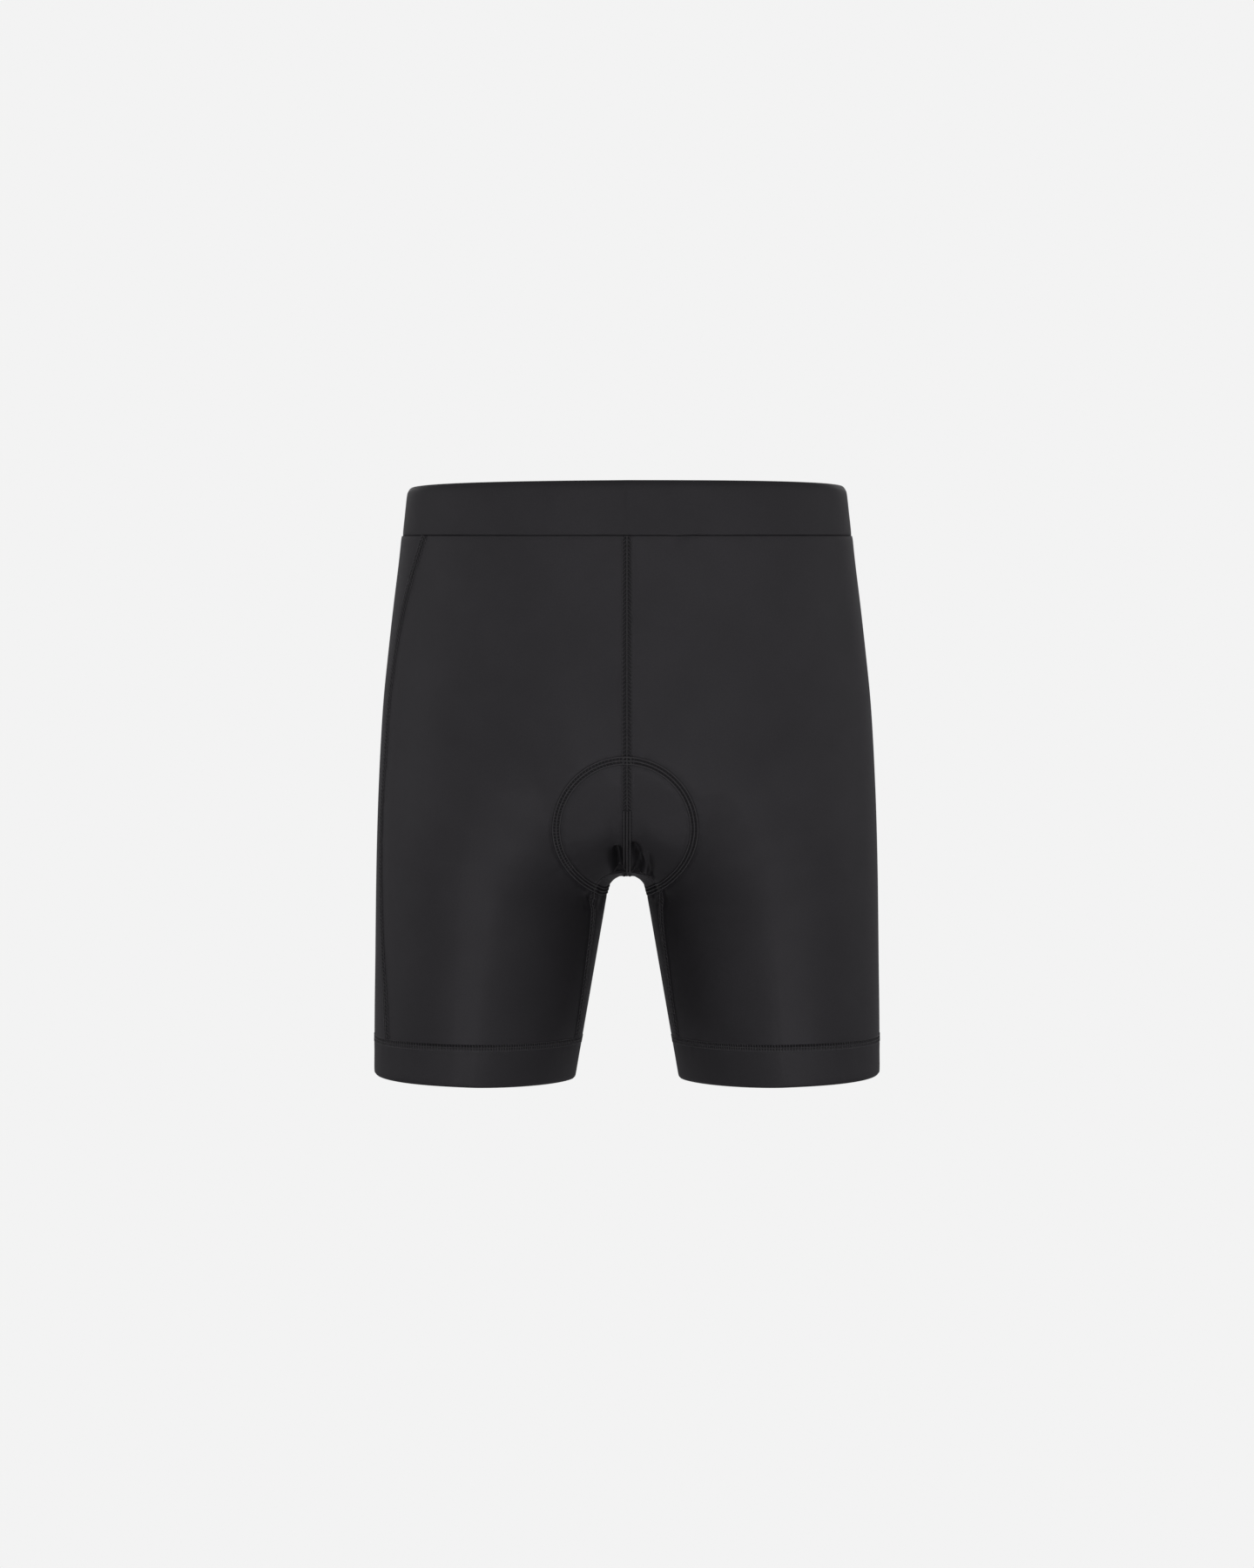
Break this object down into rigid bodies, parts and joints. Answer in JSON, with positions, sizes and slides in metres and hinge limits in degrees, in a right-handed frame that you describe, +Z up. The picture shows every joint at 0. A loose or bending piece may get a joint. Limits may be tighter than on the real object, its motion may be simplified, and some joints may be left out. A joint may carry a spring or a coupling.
{
  "type": "cycling shorts",
  "caption": "Hollow cycling shorts in black stretch knit, filled out as worn with no wearer: folded waistband, front and back panels for each leg, and a narrow band at each hem.",
  "frame": {"origin": "middle of the waist opening, level with the top of the waistband at the sides", "axes": "+Z up along the wearer, -Y to the front, +X to the wearer's left"},
  "size_m": [0.3586, 0.2413, 0.4222],
  "materials": {
    "body_knit": "fine warp knit of nylon and elastane, soft satin sheen",
    "band_knit": "the same fine knit, folded over elastic at the waist and doubled at the hems"
  },
  "bodies": {
    "root": {"waistband": "band_knit", "front_right": "body_knit", "front_left": "body_knit", "back_right": "body_knit", "back_left": "body_knit", "hem_band_right": "band_knit", "hem_band_left": "band_knit"}
  },
  "joints": []
}
